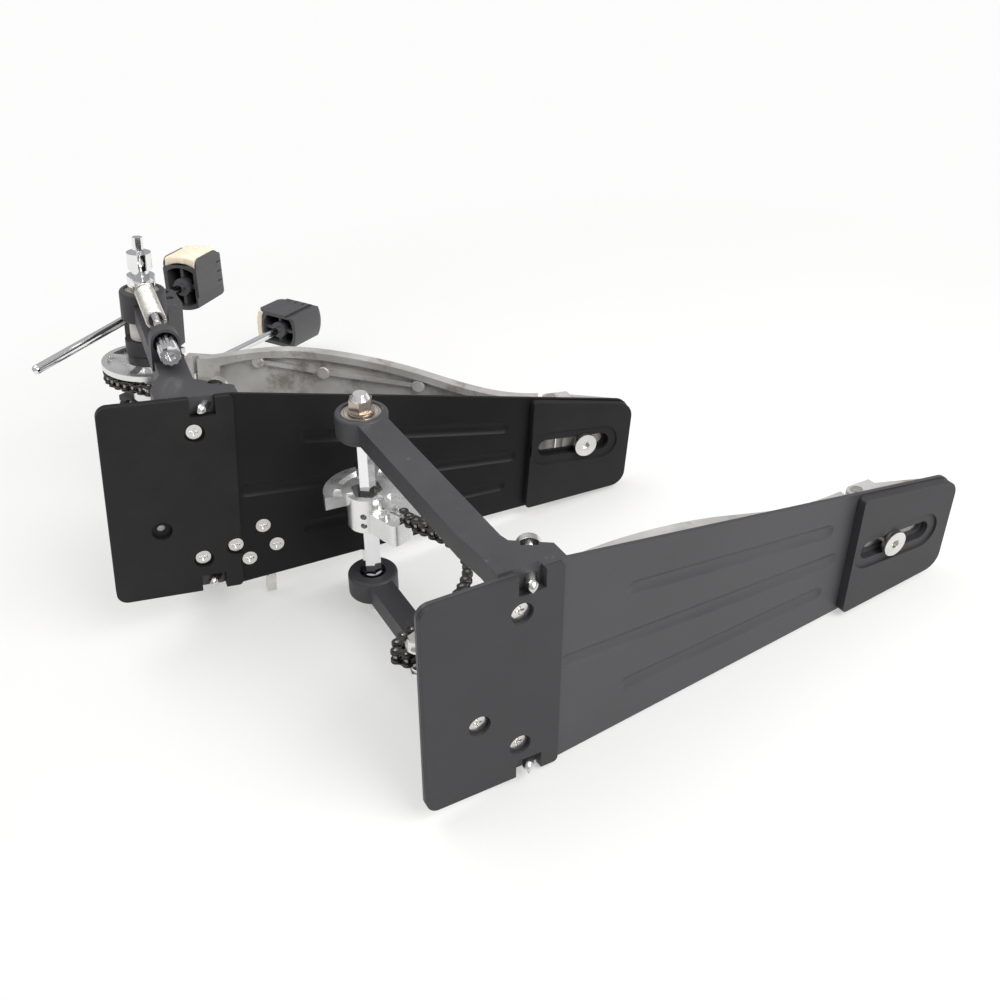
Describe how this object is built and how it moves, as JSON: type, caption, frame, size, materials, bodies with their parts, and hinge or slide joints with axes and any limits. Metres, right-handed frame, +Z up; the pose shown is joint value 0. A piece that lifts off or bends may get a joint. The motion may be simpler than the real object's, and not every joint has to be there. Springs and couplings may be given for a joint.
{
  "type": "double bass drum pedal",
  "caption": "Double bass drum pedal lying on its side: a main chain-drive pedal with felt beaters, return springs and hoop clamp, and a second remote pedal, drive shaft off.",
  "frame": {"origin": "centre of the bounding box, on the floor that both pedals lie on", "axes": "+Z up from the floor, +X to the right of the picture, +Y away from the picture's camera"},
  "size_m": [0.5614, 0.5738, 0.1995],
  "materials": {
    "black_coat": "matte powder coat",
    "black_rubber": "fine matte rubber",
    "cast_aluminium": "raw casting, satin",
    "bright_aluminium": "polished casting",
    "chrome": "bright chrome",
    "zinc": "zinc plated",
    "bearing_steel": "ground steel with shields",
    "dark_chain": "blackened roller chain",
    "spring_steel": "plated spring wire",
    "black_plastic": "moulded black plastic",
    "white_nylon": "off-white nylon",
    "felt": "pressed felt"
  },
  "bodies": {
    "main_frame": {"main_base_plate": "black_coat", "main_toe_pad": "black_rubber", "main_heel_pad": "black_rubber", "main_base_screws": "zinc", "main_bearings": "bearing_steel", "main_left_post": "black_coat", "main_right_post": "black_coat", "main_clamp_block": "cast_aluminium", "main_jaw_pin": "zinc", "main_spring_rods": "chrome", "main_left_spring": "spring_steel", "main_right_spring": "spring_steel"},
    "main_left_spur_bolt": {"main_left_spur": "zinc"},
    "main_right_spur_bolt": {"main_right_spur": "zinc"},
    "main_heel": {"main_heel_plate": "cast_aluminium", "main_heel_screw": "zinc", "main_hinge_pin": "zinc"},
    "main_board": {"main_footboard": "cast_aluminium", "main_chain_bolt": "zinc"},
    "main_axle_set": {"main_axle": "chrome", "main_axle_nut": "chrome", "main_cam": "bright_aluminium", "main_chain_clamp": "bright_aluminium", "main_chain": "dark_chain", "main_right_holder": "black_coat", "main_right_rocker": "chrome", "main_centre_collar": "black_plastic"},
    "main_right_beater": {"main_right_rod": "chrome", "main_right_head": "black_plastic", "main_right_felt": "felt"},
    "main_left_axle_set": {"main_left_stub": "chrome", "main_left_rocker": "chrome", "main_left_holder": "black_coat", "main_centre_bush": "white_nylon"},
    "main_left_beater": {"main_left_rod": "chrome", "main_left_head": "black_plastic", "main_left_felt": "felt"},
    "main_left_tension_nut": {"main_left_spring_nut": "chrome"},
    "main_right_tension_nut": {"main_right_spring_nut": "chrome"},
    "main_key_shaft": {"main_clamp_shaft": "zinc"},
    "main_jaw": {"main_hoop_jaw": "cast_aluminium"},
    "second_frame": {"second_base_plate": "black_coat", "second_toe_pad": "black_rubber", "second_heel_pad": "black_rubber", "second_base_screws": "zinc", "second_bearings": "bearing_steel", "second_left_post": "black_coat", "second_right_post": "black_coat"},
    "second_left_spur_bolt": {"second_left_spur": "zinc"},
    "second_right_spur_bolt": {"second_right_spur": "zinc"},
    "second_heel": {"second_heel_plate": "cast_aluminium", "second_heel_screw": "zinc", "second_hinge_pin": "zinc"},
    "second_board": {"second_footboard": "cast_aluminium", "second_chain_bolt": "zinc"},
    "second_axle_set": {"second_axle": "chrome", "second_axle_nut": "chrome", "second_cam": "bright_aluminium", "second_chain_clamp": "bright_aluminium", "second_chain": "dark_chain"}
  },
  "joints": [
    {"name": "main_left_spur_travel", "type": "slide", "parent": "main_frame", "child": "main_left_spur_bolt", "axis": [0.1485, 0.9812, -0.1231], "range_m": [-0.0035, 0.003]},
    {"name": "main_right_spur_travel", "type": "slide", "parent": "main_frame", "child": "main_right_spur_bolt", "axis": [0.1485, 0.9812, -0.1231], "range_m": [-0.0035, 0.003]},
    {"name": "second_left_spur_travel", "type": "slide", "parent": "second_frame", "child": "second_left_spur_bolt", "axis": [0.0433, 0.9986, -0.031], "range_m": [-0.0035, 0.003]},
    {"name": "second_right_spur_travel", "type": "slide", "parent": "second_frame", "child": "second_right_spur_bolt", "axis": [0.0433, 0.9986, -0.031], "range_m": [-0.0035, 0.003]},
    {"name": "main_heel_slide", "type": "slide", "parent": "main_frame", "child": "main_heel", "axis": [0.9323, 0.2993, -0.2028], "range_m": [-0.016, 0.008], "deforming": ["main_chain"]},
    {"name": "second_heel_slide", "type": "slide", "parent": "second_frame", "child": "second_heel", "axis": [0.9021, 0.4149, -0.1184], "range_m": [-0.01, 0.016], "deforming": ["second_chain"]},
    {"name": "main_footboard_hinge", "type": "hinge", "parent": "main_heel", "child": "main_board", "pos_m": [0.04695, -0.00517, 0.04466], "axis": [0.1823, 0.0952, 0.9786], "range_deg": [0, 8], "deforming": ["main_chain"]},
    {"name": "second_footboard_hinge", "type": "hinge", "parent": "second_heel", "child": "second_board", "pos_m": [0.21036, -0.15531, 0.04352], "axis": [0.1185, 0.0257, 0.9926], "range_deg": [-22, 0], "deforming": ["second_chain"]},
    {"name": "main_axle_turn", "type": "hinge", "parent": "main_frame", "child": "main_axle_set", "pos_m": [-0.23586, 0.0809, 0.08897], "axis": [0.1823, 0.0952, 0.9786], "range_deg": [0, 68], "stiffness_Nm_per_rad": 1, "springref_deg": -6.88, "deforming": ["main_chain", "main_right_spring"]},
    {"name": "second_axle_turn", "type": "hinge", "parent": "second_frame", "child": "second_axle_set", "pos_m": [-0.07254, -0.10002, 0.07586], "axis": [0.1185, 0.0257, 0.9926], "range_deg": [-70.4, 0], "deforming": ["second_chain"]},
    {"name": "main_left_axle_turn", "type": "hinge", "parent": "main_frame", "child": "main_left_axle_set", "pos_m": [-0.23586, 0.0809, 0.08897], "axis": [0.1823, 0.0952, 0.9786], "range_deg": [0, 65], "stiffness_Nm_per_rad": 1, "springref_deg": -6.88, "deforming": ["main_left_spring"]},
    {"name": "main_left_beater_height", "type": "slide", "parent": "main_left_axle_set", "child": "main_left_beater", "axis": [0.3441, 0.9262, -0.1542], "range_m": [-0.015, 0.08]},
    {"name": "main_right_beater_height", "type": "slide", "parent": "main_axle_set", "child": "main_right_beater", "axis": [0.4958, 0.8506, -0.1751], "range_m": [-0.03, 0.012]},
    {"name": "main_left_tension_nut_turn", "type": "hinge", "parent": "main_frame", "child": "main_left_tension_nut", "pos_m": [-0.17886, -0.04174, 0.16998], "axis": [-0.3122, 0.9494, -0.0342], "continuous": true},
    {"name": "main_right_tension_nut_turn", "type": "hinge", "parent": "main_frame", "child": "main_right_tension_nut", "pos_m": [-0.2073, -0.05659, 0.01732], "axis": [-0.3122, 0.9494, -0.0342], "continuous": true},
    {"name": "main_key_turn", "type": "hinge", "parent": "main_frame", "child": "main_key_shaft", "pos_m": [-0.13741, -0.06173, 0.0845], "axis": [-0.1823, -0.0952, -0.9786], "range_deg": [0, 170]},
    {"name": "main_jaw_hinge", "type": "hinge", "parent": "main_frame", "child": "main_jaw", "pos_m": [-0.20703, -0.07884, 0.09913], "axis": [0.1823, 0.0952, 0.9786], "range_deg": [0, 3.1]},
    {"name": "second_pedal_place", "type": "slide", "parent": "main_frame", "child": "second_frame", "axis": [0, -1, 0], "range_m": [0, 0.12]}
  ],
  "couplings": [
    {"joint": "main_axle_turn", "follows": "main_footboard_hinge", "ratio": 8.5},
    {"joint": "second_axle_turn", "follows": "second_footboard_hinge", "ratio": 3.2},
    {"joint": "main_jaw_hinge", "follows": "main_key_turn", "ratio": 0.0182}
  ]
}
